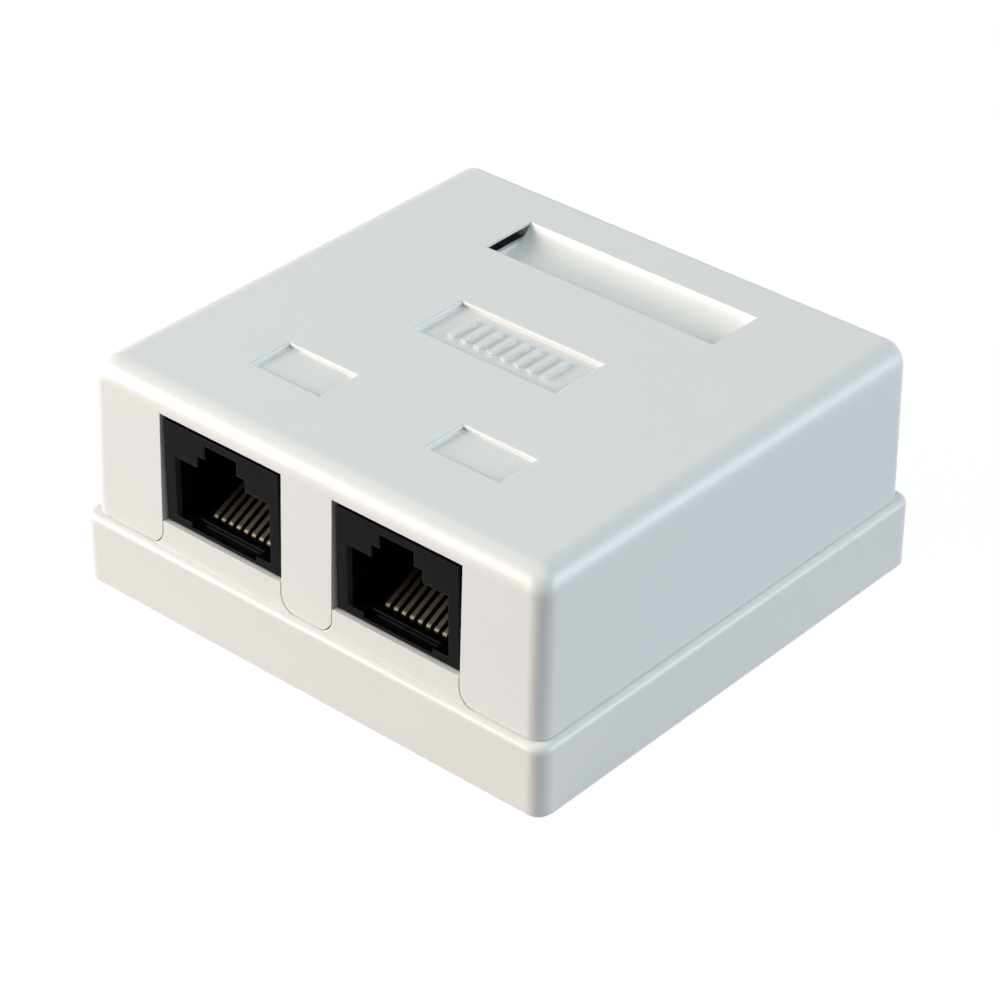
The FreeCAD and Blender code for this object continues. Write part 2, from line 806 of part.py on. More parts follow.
def make_circuit_board():
    """Board with holes for pegs, pins, locating pins, its screws and the front wall screw's head."""
    z = (board_under, board_top)
    board = rounded_block((-board_x, board_x), (board_front, board_back), z, board_corner)
    through = (board_under - clear, board_top + clear)
    cuts = [rod(0, wall_hole_ys[0], through, access_hole_radius)]
    cuts += [rod(0, y, through, board_screw_hole) for y in board_screw_ys]
    for x in post_xs:
        cuts += [rod(x, y, through, locating_pin_radius + locating_pin_gap) for y in post_ys]
    for port_x in port_xs.values():
        for side in (-1, 1):
            peg_x = port_x + side * peg_spread / 2
            cuts.append(rod(peg_x, jack_face_y + peg_setback, through, peg_radius + locating_pin_gap))
        for index, u in enumerate(contact_us):
            pin_y = jack_face_y + wire_pin_row + wire_row_gap * (index % 2)
            cuts.append(pin_hole(port_x + u, pin_y, through, pin_hole_radius))
        for u in row_us:
            cuts += [pin_hole(port_x + u, idc_y + y, through, blade_hole_radius) for y in slot_ys]
    return board.cut(cuts)


def make_board_screw(y):
    """Pan-head self-tapping screw with a cross recess, a plain shank and a point."""
    tip = -board_thickness - board_screw_reach
    profile = [
        vector(0, 0, tip),
        vector(board_screw_shank, 0, tip + board_screw_shank),
        vector(board_screw_shank, 0, 0),
        vector(board_screw_head, 0, 0),
        vector(board_screw_head, 0, board_screw_rim),
        vector(board_screw_crown, 0, board_screw_head_height),
        vector(0, 0, board_screw_head_height),
    ]
    screw = Part.Face(Part.makePolygon(profile + profile[:1])).revolve(vector(0, 0, 0), vector(0, 0, 1), 360)
    recess_z = around(board_screw_head_height, 2 * screw_cross_depth)
    for size in ((screw_cross_width, 2 * board_screw_crown), (2 * board_screw_crown, screw_cross_width)):
        screw = screw.cut(block(around(0, size[0]), around(0, size[1]), recess_z))
    return moved(screw, 0, y, board_top)


# ---- assembly ------------------------------------------------------------------------------


def make_nodes():
    """Every piece by name, in its place."""
    nodes = {
        "base": make_base(),
        "cover": make_cover(),
        "circuit_board": make_circuit_board(),
        "board_screw_front": make_board_screw(board_screw_ys[0]),
        "board_screw_rear": make_board_screw(board_screw_ys[1]),
    }
    housing = make_jack_housing()
    carrier = make_contact_carrier()
    idc_block = make_idc_block()
    for side, port_x in port_xs.items():
        nodes["jack_housing_" + side] = moved(housing, port_x, jack_face_y, board_top)
        nodes["contact_carrier_" + side] = moved(carrier, port_x, jack_face_y, board_top)
        nodes["idc_block_" + side] = moved(idc_block, port_x, idc_y, board_top)
        for index in range(contacts_per_port):
            wire = make_contact_wire(index)
            nodes[f"contact_wire_{side}_{index + 1}"] = moved(wire, port_x, jack_face_y, board_top)
        places = [(u, y) for u in row_us for y in slot_ys]
        for number, (u, y) in enumerate(places, 1):
            blade = make_idc_contact(u, y)
            nodes[f"idc_contact_{side}_{number}"] = moved(blade, port_x, idc_y, board_top)
    return nodes


os.makedirs("parts", exist_ok=True)
for name, shape in make_nodes().items():
    shape.exportStep(f"parts/{name}.step")
    print(name, "solids", len(shape.Solids), "valid", shape.isValid(), "volume", round(shape.Volume, 1))
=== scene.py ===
"""Finishes, light and camera for a two-port surface mount jack box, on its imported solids.

Every sub-assembly of the box is a class that dresses its own solids, and every finish is a frozen
dataclass that makes one node material. Lengths are in metres unless a name ends in _mm, and angles
are in degrees.
"""

import logging
import math
from dataclasses import dataclass, field
from enum import Enum

import bmesh
import bpy
from mathutils import Matrix, Vector


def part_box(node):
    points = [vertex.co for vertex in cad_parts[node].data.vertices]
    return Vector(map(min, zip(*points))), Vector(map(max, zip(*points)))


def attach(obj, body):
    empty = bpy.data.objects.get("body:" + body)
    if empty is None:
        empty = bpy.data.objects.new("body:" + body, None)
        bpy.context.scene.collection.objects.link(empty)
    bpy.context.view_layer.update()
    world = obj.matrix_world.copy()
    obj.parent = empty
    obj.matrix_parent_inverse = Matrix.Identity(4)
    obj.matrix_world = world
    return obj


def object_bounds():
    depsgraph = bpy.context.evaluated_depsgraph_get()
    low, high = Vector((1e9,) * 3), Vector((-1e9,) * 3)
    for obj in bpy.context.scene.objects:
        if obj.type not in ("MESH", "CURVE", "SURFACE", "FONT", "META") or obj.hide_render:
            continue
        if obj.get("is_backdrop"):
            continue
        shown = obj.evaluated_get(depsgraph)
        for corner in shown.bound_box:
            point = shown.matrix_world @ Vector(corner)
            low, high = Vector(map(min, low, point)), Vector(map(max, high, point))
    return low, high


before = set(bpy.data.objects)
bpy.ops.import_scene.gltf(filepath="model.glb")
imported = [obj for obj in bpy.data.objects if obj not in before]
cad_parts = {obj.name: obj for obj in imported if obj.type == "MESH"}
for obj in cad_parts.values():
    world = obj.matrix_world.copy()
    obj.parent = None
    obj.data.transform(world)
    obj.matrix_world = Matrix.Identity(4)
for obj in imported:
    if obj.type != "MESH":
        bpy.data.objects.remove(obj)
MM = 0.001
EDGE_SAMPLES = 6
log = logging.getLogger("jack_box")

Colour = tuple[float, float, float]
Socket = bpy.types.NodeSocket
Sockets = bpy.types.bpy_prop_collection


class Side(Enum):
    """The two ports, seen from the front."""

    LEFT = "left"
    RIGHT = "right"


# ---- shader helpers ------------------------------------------------------------------------


class Shading:
    """A node tree with short ways to add and join its nodes."""

    def __init__(self, tree: bpy.types.NodeTree) -> None:
        """Keep the tree.

        Args:
            tree: Node tree of a material, a world or a node group.
        """
        self.tree = tree

    def add(self, kind: str, **settings: object) -> bpy.types.Node:
        """Add a node.

        Args:
            kind: Blender's name of the node type.
            **settings: Properties of the node to set.

        Returns:
            The new node.
        """
        node = self.tree.nodes.new(kind)
        for name, value in settings.items():
            setattr(node, name, value)
        return node

    def join(self, source: Socket, target: Socket) -> None:
        """Link an output to an input."""
        self.tree.links.new(source, target)

    def feed(self, target: Socket, term: object) -> None:
        """Give an input a socket to read, or a fixed number or vector.

        Args:
            target: The input.
            term: An output socket, a number or a vector.
        """
        if isinstance(term, Socket):
            self.join(term, target)
        else:
            target.default_value = term

    def work_out(self, operation: str, *terms: object) -> Socket:
        """Work out a number from sockets and numbers.

        Args:
            operation: Name of the Math node's operation.
            *terms: Sockets or numbers, in the node's order.

        Returns:
            The result's socket.
        """
        node = self.add("ShaderNodeMath", operation=operation)
        for socket, term in zip(node.inputs, terms):
            self.feed(socket, term)
        return node.outputs["Value"]

    def vector(self, operation: str, *terms: object) -> Socket:
        """Work out a vector, or its length, from sockets and vectors.

        Args:
            operation: Name of the Vector Math node's operation.
            *terms: Sockets or vectors, in the node's order.

        Returns:
            The result's socket.
        """
        node = self.add("ShaderNodeVectorMath", operation=operation)
        for socket, term in zip(node.inputs, terms):
            self.feed(socket, term)
        return node.outputs["Value" if operation == "LENGTH" else "Vector"]

    def axes(self, vector: Socket) -> Sockets:
        """Split a vector into its X, Y and Z.

        Args:
            vector: The vector's socket.

        Returns:
            The three sockets by name.
        """
        node = self.add("ShaderNodeSeparateXYZ")
        self.join(vector, node.inputs["Vector"])
        return node.outputs

    def average(self, first: Socket, second: Socket) -> Socket:
        """Average two numbers."""
        return self.work_out("MULTIPLY", self.work_out("ADD", first, second), 0.5)

    def any_of(self, masks: list[Socket]) -> Socket:
        """Join masks into one.

        Args:
            masks: Sockets that are 1 where they apply.

        Returns:
            A mask that is 1 where any of them is.
        """
        whole = masks[0]
        for mask in masks[1:]:
            whole = self.work_out("MAXIMUM", whole, mask)
        return whole

    def mixed(self, factor: Socket, first: object, second: object) -> Socket:
        """Mix two colours.

        Args:
            factor: Mask, where 1 shows the second colour.
            first: Colour or socket where the mask is 0.
            second: Colour or socket where the mask is 1.

        Returns:
            The mixed colour's socket.
        """
        node = self.add("ShaderNodeMix", data_type="RGBA")
        self.join(factor, node.inputs["Factor"])
        for name, term in (("A", first), ("B", second)):
            self.feed(node.inputs[name], (*term, 1.0) if isinstance(term, tuple) else term)
        return node.outputs["Result"]

    def vary(self, tone: Socket, middle: float, reach: float) -> Socket:
        """Vary a number about its middle with a tone.

        Args:
            tone: Socket that goes from 0 to 1.
            middle: The number at a tone of a half.
            reach: How far it goes to either side.

        Returns:
            The number's socket.
        """
        node = self.add("ShaderNodeMapRange")
        node.inputs["To Min"].default_value = middle - reach
        node.inputs["To Max"].default_value = middle + reach
        self.join(tone, node.inputs["Value"])
        return node.outputs["Result"]

    def noise(self, place: Socket, size: object, detail: float) -> Socket:
        """Add a noise pattern.

        Args:
            place: Place on the surface.
            size: Size of its lumps in metres, as a socket or a number.
            detail: Number of finer layers in it.

        Returns:
            The noise's socket, from 0 to 1.
        """
        node = self.add("ShaderNodeTexNoise")
        scale = self.work_out("DIVIDE", 1.0, size) if isinstance(size, Socket) else 1.0 / size
        self.feed(node.inputs["Scale"], scale)
        self.join(place, node.inputs["Vector"])
        node.inputs["Detail"].default_value = detail
        return node.outputs["Fac"]

    def pattern(
        self, tree: bpy.types.NodeTree, place: Socket, values: dict[str, object]
    ) -> Sockets:
        """Put a node group in with values of its own.

        Args:
            tree: The group.
            place: Place on the surface.
            values: Inputs to set, by name.

        Returns:
            The group's outputs.
        """
        node = self.add("ShaderNodeGroup", node_tree=tree)
        for label, value in values.items():
            node.inputs[label].default_value = value
        self.join(place, node.inputs["Vector"])
        return node.outputs


def start_group(
    name: str, inputs: dict[str, object], outputs: list[str]
) -> tuple[Shading, Sockets, Sockets]:
    """Make an empty shader node group that reads a place on the surface.

    Args:
        name: Name of the group.
        inputs: Inputs after Vector, each with its default: a number or a vector.
        outputs: Names of the number outputs.

    Returns:
        The group's tree, the sockets that bring its inputs and the sockets that take its outputs.
    """
    tree = bpy.data.node_groups.new(name, "ShaderNodeTree")
    tree.interface.new_socket("Vector", in_out="INPUT", socket_type="NodeSocketVector")
    for label, value in inputs.items():
        kind = "NodeSocketVector" if isinstance(value, tuple) else "NodeSocketFloat"
        tree.interface.new_socket(label, in_out="INPUT", socket_type=kind).default_value = value
    for label in outputs:
        tree.interface.new_socket(label, in_out="OUTPUT", socket_type="NodeSocketFloat")
    made = Shading(tree)
    return made, made.add("NodeGroupInput").outputs, made.add("NodeGroupOutput").inputs


def moulded_skin_group() -> bpy.types.NodeTree:
    """Make the skin that a fine-eroded mould leaves: grain over soft unevenness.

    Returns:
        A group that puts out Height for a bump and Tone, about 0.5, for colour and roughness.
    """
    sizes = {"Grain Size": 0.00025, "Swell Size": 0.006, "Swell": 0.5}
    made, given, wanted = start_group("moulded skin", sizes, ["Height", "Tone"])
    grain = made.noise(given["Vector"], given["Grain Size"], detail=2.0)
    swell = made.noise(given["Vector"], given["Swell Size"], detail=3.0)
    raised = made.work_out("MULTIPLY", swell, given["Swell"])
    made.join(made.work_out("ADD", grain, raised), wanted["Height"])
    made.join(made.average(grain, swell), wanted["Tone"])
    return made.tree


def drawn_metal_group() -> bpy.types.NodeTree:
    """Make the fine lines that rolling or drawing leaves on thin metal, over a faint mottle.

    Returns:
        A group that puts out Height for a bump and Tone, about 0.5, for colour and roughness.
    """
    sizes = {"Stretch": (1.0, 0.05, 0.05), "Line Size": 0.00006, "Mottle Size": 0.0006}
    made, given, wanted = start_group("drawn metal", sizes, ["Height", "Tone"])
    along = made.vector("MULTIPLY", given["Vector"], given["Stretch"])
    lines = made.noise(along, given["Line Size"], detail=1.0)
    mottle = made.noise(given["Vector"], given["Mottle Size"], detail=2.0)
    made.join(lines, wanted["Height"])
    made.join(made.average(lines, mottle), wanted["Tone"])
    return made.tree


def frame_line_group() -> bpy.types.NodeTree:
    """Make a printed rectangle: a line of even width round an upright box's footprint.

    Returns:
        A group that puts out Line, 1 on the line.
    """
    sizes = {"Centre": (0.0, 0.0, 0.0), "Half Size": (0.01, 0.01, 0.0), "Line Width": 0.0002}
    made, given, wanted = start_group("frame line", sizes, ["Line"])
    offset = made.vector("SUBTRACT", given["Vector"], given["Centre"])
    away = made.vector("ABSOLUTE", offset)
    beyond = made.axes(made.vector("SUBTRACT", away, given["Half Size"]))
    distance = made.work_out("ABSOLUTE", made.work_out("MAXIMUM", beyond["X"], beyond["Y"]))
    half_line = made.work_out("MULTIPLY", given["Line Width"], 0.5)
    made.join(made.work_out("LESS_THAN", distance, half_line), wanted["Line"])
    return made.tree


def ring_group() -> bpy.types.NodeTree:
    """Make a bare ring round an upright axis, where a screw's head covers the middle.

    Returns:
        A group that puts out Ring, 1 inside the outer radius.
    """
    sizes = {"Centre": (0.0, 0.0, 0.0), "Outer Radius": 0.003}
    made, given, wanted = start_group("ring", sizes, ["Ring"])
    offset = made.vector("SUBTRACT", given["Vector"], given["Centre"])
    distance = made.vector("LENGTH", made.vector("MULTIPLY", offset, (1.0, 1.0, 0.0)))
    made.join(made.work_out("LESS_THAN", distance, given["Outer Radius"]), wanted["Ring"])
    return made.tree


@dataclass(frozen=True)
class Patterns:
    """Shader node groups that the finishes share."""

    skin: bpy.types.NodeTree
    drawn: bpy.types.NodeTree
    outline: bpy.types.NodeTree
    ring: bpy.types.NodeTree

    @classmethod
    def build(cls) -> "Patterns":
        """Make each group once."""
        return cls(moulded_skin_group(), drawn_metal_group(), frame_line_group(), ring_group())


def start_material(name: str) -> tuple[bpy.types.Material, Shading, Sockets, Socket]:
    """Make a material with its Principled shader.

    Args:
        name: Name of the material.

    Returns:
        The material, its tree, the shader's inputs and the place on the surface.
    """
    material = bpy.data.materials.new(name)
    material.use_nodes = True
    made = Shading(material.node_tree)
    place = made.add("ShaderNodeTexCoord").outputs["Object"]
    return material, made, material.node_tree.nodes["Principled BSDF"].inputs, place


def finish_normal(
    made: Shading, height: Socket, depth: float, edge_radius: float, normal: Socket
) -> None:
    """Round the edges a little in the shading and lay a relief over them.

    Args:
        made: The material's tree.
        height: Relief from 0 to 1.
        depth: Height of the relief in metres.
        edge_radius: Radius of the softened edges in metres.
        normal: The shader's Normal input.
    """
    edge = made.add("ShaderNodeBevel", samples=EDGE_SAMPLES)
    edge.inputs["Radius"].default_value = edge_radius
    bump = made.add("ShaderNodeBump")
    bump.inputs["Distance"].default_value = depth
    made.join(height, bump.inputs["Height"])
    made.join(edge.outputs["Normal"], bump.inputs["Normal"])
    made.join(bump.outputs["Normal"], normal)


# ---- finishes ------------------------------------------------------------------------------


@dataclass(frozen=True)
class MouldedPlastic:
    """An injection-moulded plastic with a fine eroded finish."""

    name: str
    colour: Colour
    shade: Colour
    roughness: float
    specular: float = 0.5
    grain_mm: float = 0.22
    bump_mm: float = 0.003
    edge_radius_mm: float = 0.12
    gloss_spread: float = 0.1

    def build(self, patterns: Patterns) -> bpy.types.Material:
        """Make the material.

        Args:
            patterns: Groups that the finishes share.

        Returns:
            The material.
        """
        material, made, shader, place = start_material(self.name)
        skin = made.pattern(patterns.skin, place, {"Grain Size": self.grain_mm * MM})
        tone = skin["Tone"]
        made.join(made.mixed(tone, self.shade, self.colour), shader["Base Color"])
        made.join(made.vary(tone, self.roughness, self.gloss_spread), shader["Roughness"])
        shader["Specular IOR Level"].default_value = self.specular
        depth = self.bump_mm * MM
        finish_normal(made, skin["Height"], depth, self.edge_radius_mm * MM, shader["Normal"])
        return material


@dataclass(frozen=True)
class ThinMetal:
    """A plated metal with drawn lines."""

    name: str
    colour: Colour
    shade: Colour
    roughness: float
    stretch: tuple[float, float, float]
    line_mm: float = 0.06
    mottle_mm: float = 0.6
    bump_mm: float = 0.0008
    edge_radius_mm: float = 0.04
    gloss_spread: float = 0.1

    def build(self, patterns: Patterns) -> bpy.types.Material:
        """Make the material.

        Args:
            patterns: Groups that the finishes share.

        Returns:
            The material.
        """
        material, made, shader, place = start_material(self.name)
        sizes = {"Line Size": self.line_mm * MM, "Mottle Size": self.mottle_mm * MM}
        drawn = made.pattern(patterns.drawn, place, {"Stretch": self.stretch, **sizes})
        tone = drawn["Tone"]
        made.join(made.mixed(tone, self.shade, self.colour), shader["Base Color"])
        made.join(made.vary(tone, self.roughness, self.gloss_spread), shader["Roughness"])
        shader["Metallic"].default_value = 1.0
        depth = self.bump_mm * MM
        finish_normal(made, drawn["Height"], depth, self.edge_radius_mm * MM, shader["Normal"])
        return material


@dataclass(frozen=True)
class BoardLaminate:
    """A glass-fibre board: solder mask over tracks, printed outlines, bare rings and sawn edges.

    Attributes:
        jog_from: Where the tracks start to step aside, in track pitches behind the middle.
        jog_to: Where they run straight again, in track pitches behind the middle.
        weave_share: Height of the weave as a share of the relief that a track has.
        matt_gain: How much rougher print and sawn edges are than the mask.
        level_share: How upright the normal of a level face is at least.
    """

    name: str
    mask: Colour
    track: Colour
    print_ink: Colour
    bare: Colour
    sawn: Colour
    sawn_dark: Colour
    track_pitch_mm: float = 1.27
    track_width_mm: float = 0.4
    jog_from: float = 0.5
    jog_to: float = 3.5
    print_gap_mm: float = 0.3
    print_width_mm: float = 0.18
    ring_radius_mm: float = 3.0
    layer_mm: float = 0.2
    weave_mm: float = 0.35
    weave_share: float = 0.3
    relief_mm: float = 0.02
    edge_radius_mm: float = 0.05
    roughness: float = 0.3
    gloss_spread: float = 0.1
    matt_gain: float = 0.35
    level_share: float = 0.5

    def tracks(self, made: Shading, place: Socket) -> Socket:
        """Draw copper tracks that run to the back under the mask and step aside on the way.

        Args:
            made: The material's tree.
            place: Place on the surface.

        Returns:
            A mask that is 1 on a track.
        """
        axes = made.axes(place)
        pitch = self.track_pitch_mm * MM
        jog = made.add("ShaderNodeMapRange")
        jog.inputs["From Min"].default_value = self.jog_from * pitch
        jog.inputs["From Max"].default_value = self.jog_to * pitch
        jog.inputs["To Max"].default_value = (self.jog_to - self.jog_from) * pitch
        made.join(axes["Y"], jog.inputs["Value"])
        shifted = made.work_out("SUBTRACT", axes["X"], jog.outputs["Result"])
        turns = made.work_out("DIVIDE", shifted, pitch)
        middle = made.work_out("SUBTRACT", made.work_out("FRACT", turns), 0.5)
        half_width = 0.5 * self.track_width_mm / self.track_pitch_mm
        return made.work_out("LESS_THAN", made.work_out("ABSOLUTE", middle), half_width)

    def outline(self, made: Shading, patterns: Patterns, place: Socket, name: str) -> Socket:
        """Draw the printed line round what a solid covers of the board.

        Args:
            made: The material's tree.
            patterns: Groups that the finishes share.
            place: Place on the surface.
            name: The solid that stands on the board.

        Returns:
            A mask that is 1 on the line.
        """
        low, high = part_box(name)
        half = (high - low) / 2
        gap = self.print_gap_mm * MM
        values = {"Centre": (low + high) / 2, "Half Size": (half.x + gap, half.y + gap, 0.0),
                  "Line Width": self.print_width_mm * MM}
        return made.pattern(patterns.outline, place, values)["Line"]

    def bare_ring(self, made: Shading, patterns: Patterns, place: Socket, name: str) -> Socket:
        """Draw the bare ring round a screw.

        Args:
            made: The material's tree.
            patterns: Groups that the finishes share.
            place: Place on the surface.
            name: The screw.

        Returns:
            A mask that is 1 on the ring.
        """
        low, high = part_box(name)
        values = {"Centre": (low + high) / 2, "Outer Radius": self.ring_radius_mm * MM}
        return made.pattern(patterns.ring, place, values)["Ring"]

    def build(
        self, patterns: Patterns, standing: list[str], screws: list[str]
    ) -> bpy.types.Material:
        """Make the material.

        Args:
            patterns: Groups that the finishes share.
            standing: Solids on the board that have a printed outline.
            screws: Screws that have a bare ring.

        Returns:
            The material.
        """
        material, made, shader, place = start_material(self.name)
        printed = made.any_of([self.outline(made, patterns, place, name) for name in standing])
        bare = made.any_of([self.bare_ring(made, patterns, place, name) for name in screws])
        track = self.tracks(made, place)
        facing = made.axes(made.add("ShaderNodeTexCoord").outputs["Normal"])
        upright = made.work_out("ABSOLUTE", facing["Z"])
        edge = made.work_out("LESS_THAN", upright, self.level_share)
        weave = made.noise(place, self.weave_mm * MM, detail=2.0)
        height = made.axes(place)["Z"]
        layer = made.work_out("FRACT", made.work_out("DIVIDE", height, self.layer_mm * MM))

        top = made.mixed(track, self.mask, self.track)
        top = made.mixed(printed, top, self.print_ink)
        top = made.mixed(bare, top, self.bare)
        side = made.mixed(layer, self.sawn, self.sawn_dark)
        made.join(made.mixed(edge, top, side), shader["Base Color"])
        metal = made.work_out("MULTIPLY", bare, made.work_out("SUBTRACT", 1.0, edge))
        made.join(metal, shader["Metallic"])
        matt = made.work_out("MULTIPLY", made.any_of([printed, edge]), self.matt_gain)
        gloss = made.vary(weave, self.roughness, self.gloss_spread)
        made.join(made.work_out("ADD", matt, gloss), shader["Roughness"])
        woven = made.work_out("MULTIPLY", weave, self.weave_share)
        relief = made.work_out("ADD", woven, track)
        depth = self.relief_mm * MM
        finish_normal(made, relief, depth, self.edge_radius_mm * MM, shader["Normal"])
        return material


COVER_WHITE = MouldedPlastic(
    "white cover plastic", colour=(0.81, 0.81, 0.8), shade=(0.79, 0.79, 0.78), roughness=0.34,
    bump_mm=0.002, edge_radius_mm=0.06,
)
BASE_WHITE = MouldedPlastic(
    "white base plastic", colour=(0.81, 0.807, 0.79), shade=(0.79, 0.787, 0.77), roughness=0.34,
    bump_mm=0.002,
)
JACK_BLACK = MouldedPlastic(
    "black jack plastic", colour=(0.003, 0.003, 0.0035), shade=(0.002, 0.002, 0.0025),
    roughness=0.24, specular=0.07, grain_mm=0.15, edge_radius_mm=0.22,
)
CARRIER_BLACK = MouldedPlastic(
    "black carrier plastic", colour=(0.01, 0.01, 0.011), shade=(0.007, 0.007, 0.008),
    roughness=0.42, specular=0.15, grain_mm=0.12,
)
BLOCK_IVORY = MouldedPlastic(
    "ivory block plastic", colour=(0.8, 0.79, 0.74), shade=(0.77, 0.76, 0.71), roughness=0.45,
    grain_mm=0.18,
)
# Contact plating whose colour is darkened and greyed as painted shade, standing in for the shade
# deep inside the ports.
CONTACT_GOLD_WITH_PAINTED_SHADE = ThinMetal(
    "gold contact plating", colour=(0.165, 0.14, 0.1), shade=(0.105, 0.088, 0.06), roughness=0.5,
    stretch=(1.0, 0.05, 0.05),
)
BLADE_TIN = ThinMetal(
    "tinned blade plating", colour=(0.74, 0.73, 0.7), shade=(0.6, 0.59, 0.57), roughness=0.34,
    stretch=(1.0, 1.0, 0.05), line_mm=0.08, mottle_mm=0.5,
)
SOLDER_TIN = ThinMetal(
    "solder", colour=(0.76, 0.76, 0.75), shade=(0.66, 0.66, 0.66), roughness=0.26,
    stretch=(1.0, 1.0, 1.0), line_mm=0.3, mottle_mm=0.8,
)
SCREW_ZINC = ThinMetal(
    "zinc screw plating", colour=(0.68, 0.69, 0.7), shade=(0.55, 0.56, 0.58), roughness=0.3,
    stretch=(1.0, 1.0, 0.2), line_mm=0.12, mottle_mm=0.7,
)
BOARD_GREEN = BoardLaminate(
    "green board laminate", mask=(0.012, 0.11, 0.045), track=(0.03, 0.2, 0.075),
    print_ink=(0.82, 0.82, 0.8), bare=(0.74, 0.73, 0.7), sawn=(0.42, 0.36, 0.2),
    sawn_dark=(0.3, 0.26, 0.15),
)


# ---- sub-assemblies ------------------------------------------------------------------------


def dress(name: str, material: bpy.types.Material) -> None:
    """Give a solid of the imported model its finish.

    Args:
        name: Name of the solid.
        material: Its finish.
    """
    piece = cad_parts[name]
    piece.data.materials.clear()
    piece.data.materials.append(material)
    log.info("%s: %s", name, material.name)


@dataclass
class Case:
    """The white base and its clip-on cover."""

    base: str = "base"
    cover: str = "cover"

    def build(self, patterns: Patterns) -> None:
        """Dress both mouldings."""
        dress(self.base, BASE_WHITE.build(patterns))
        dress(self.cover, COVER_WHITE.build(patterns))


@dataclass
class ModularJack:
    """One port: shell, contact carrier and eight contact wires."""

    side: Side
    contacts: int = 8

    def wires(self) -> list[str]:
        """Names of the port's contact wires."""
        return [f"contact_wire_{self.side.value}_{i}" for i in range(1, self.contacts + 1)]

    def build(
        self, shell: bpy.types.Material, carrier: bpy.types.Material, gold_with_painted_shade: bpy.types.Material
    ) -> None:
        """Dress the port's solids.

        Args:
            shell: Finish of the shell.
            carrier: Finish of the contact carrier.
            gold_with_painted_shade: Finish of the contact wires, its plating colour darkened as
                painted shade.
        """
        dress(f"jack_housing_{self.side.value}", shell)
        dress(f"contact_carrier_{self.side.value}", carrier)
        for name in self.wires():
            dress(name, gold_with_painted_shade)


@dataclass
class PunchDownBlock:
    """The block behind one port, with a forked blade in each of its wire slots."""

    side: Side
    contacts: int = 8

    def blades(self) -> list[str]:
        """Names of the block's blades."""
        return [f"idc_contact_{self.side.value}_{i}" for i in range(1, self.contacts + 1)]

    def build(self, plastic: bpy.types.Material, tin: bpy.types.Material) -> None:
        """Dress the block and its blades.

        Args:
            plastic: Finish of the block.
            tin: Finish of the blades.
        """
        dress(f"idc_block_{self.side.value}", plastic)
        for name in self.blades():
            dress(name, tin)


@dataclass
class CircuitBoard:
    """The board, its two screws and the solder joints under it.

    Attributes:
        tip_rounding: How far a joint's tip is rounded, as a share of the joint's height.
        tip_segments: Steps in that rounding.
    """

    board: str = "circuit_board"
    screws: list[str] = field(default_factory=lambda: ["board_screw_front", "board_screw_rear"])
    joint_radius_mm: float = 0.75
    joint_tip_mm: float = 0.3
    joint_height_mm: float = 0.7
    joint_sides: int = 12
    tip_rounding: float = 0.2
    tip_segments: int = 2

    def solder(self, pins: list[str], material: bpy.types.Material) -> bpy.types.Object:
        """Model a solder cone round each pin where it comes out under the board.

        Args:
            pins: Solids whose lowest end is a pin at their rear or middle.
            material: Finish of the solder.

        Returns:
            The joints as one piece.
        """
        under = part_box(self.board)[0].z
        height = self.joint_height_mm * MM
        shape = bmesh.new()
        for name in pins:
            spot = self.pin_place(name)
            made = bmesh.ops.create_cone(
                shape, cap_ends=True, segments=self.joint_sides, depth=height,
                radius1=self.joint_tip_mm * MM, radius2=self.joint_radius_mm * MM,
            )
            middle = (spot.x, spot.y, under - height / 2)
            bmesh.ops.translate(shape, verts=made["verts"], vec=middle)
        half_way = under - height / 2
        rims = [
            edge for edge in shape.edges if all(vert.co.z < half_way for vert in edge.verts)
        ]
        bmesh.ops.bevel(
            shape, geom=rims, offset=self.tip_rounding * height, affect="EDGES",
            segments=self.tip_segments, profile=0.5, material=-1,
        )
        bmesh.ops.recalc_face_normals(shape, faces=shape.faces)
        mesh = bpy.data.meshes.new("solder_joints")
        shape.to_mesh(mesh)
        shape.free()
        mesh.materials.append(material)
        piece = bpy.data.objects.new("solder_joints", mesh)
        bpy.context.scene.collection.objects.link(piece)
        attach(piece, "base_body")
        return piece

    def pin_place(self, name: str) -> Vector:
        """Middle of a pin where it passes the board's underside.

        Args:
            name: Solid that the pin belongs to.

        Returns:
            A point on the pin's axis.
        """
        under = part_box(self.board)[0].z
        low = [vert.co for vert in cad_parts[name].data.vertices if vert.co.z < under]
        corner = [min(point[i] for point in low) for i in range(3)]
        opposite = [max(point[i] for point in low) for i in range(3)]
        return (Vector(corner) + Vector(opposite)) / 2

    def build(
        self, patterns: Patterns, ports: list[ModularJack], blocks: list[PunchDownBlock]
    ) -> None:
        """Dress the board and its screws and solder the pins.

        Args:
            patterns: Groups that the finishes share.
            ports: The jacks on the board.
            blocks: The punch-down blocks on the board.
        """
        standing = [f"jack_housing_{port.side.value}" for port in ports]
        standing += [f"idc_block_{block.side.value}" for block in blocks]
        dress(self.board, BOARD_GREEN.build(patterns, standing, self.screws))
        zinc = SCREW_ZINC.build(patterns)
        for name in self.screws:
            dress(name, zinc)
        pins = [name for port in ports for name in port.wires()]
        pins += [name for block in blocks for name in block.blades()]
        piece = self.solder(pins, SOLDER_TIN.build(patterns))
        log.info("%s: %d joints", piece.name, len(pins))


# ---- stage ---------------------------------------------------------------------------------


def direction(azimuth: float, elevation: float) -> Vector:
    """Work out a unit vector from the box outwards.

    Args:
        azimuth: Degrees round the box from its front towards its right side.
        elevation: Degrees above the floor.

    Returns:
        The direction.
    """
    turn = math.radians(azimuth)
    rise = math.radians(elevation)
    level = math.cos(rise)
    return Vector((math.sin(turn) * level, -math.cos(turn) * level, math.sin(rise)))


def grey(level: float) -> tuple[float, float, float, float]:
    """Opaque grey of a level from 0 to 1."""
    return (level, level, level, 1.0)


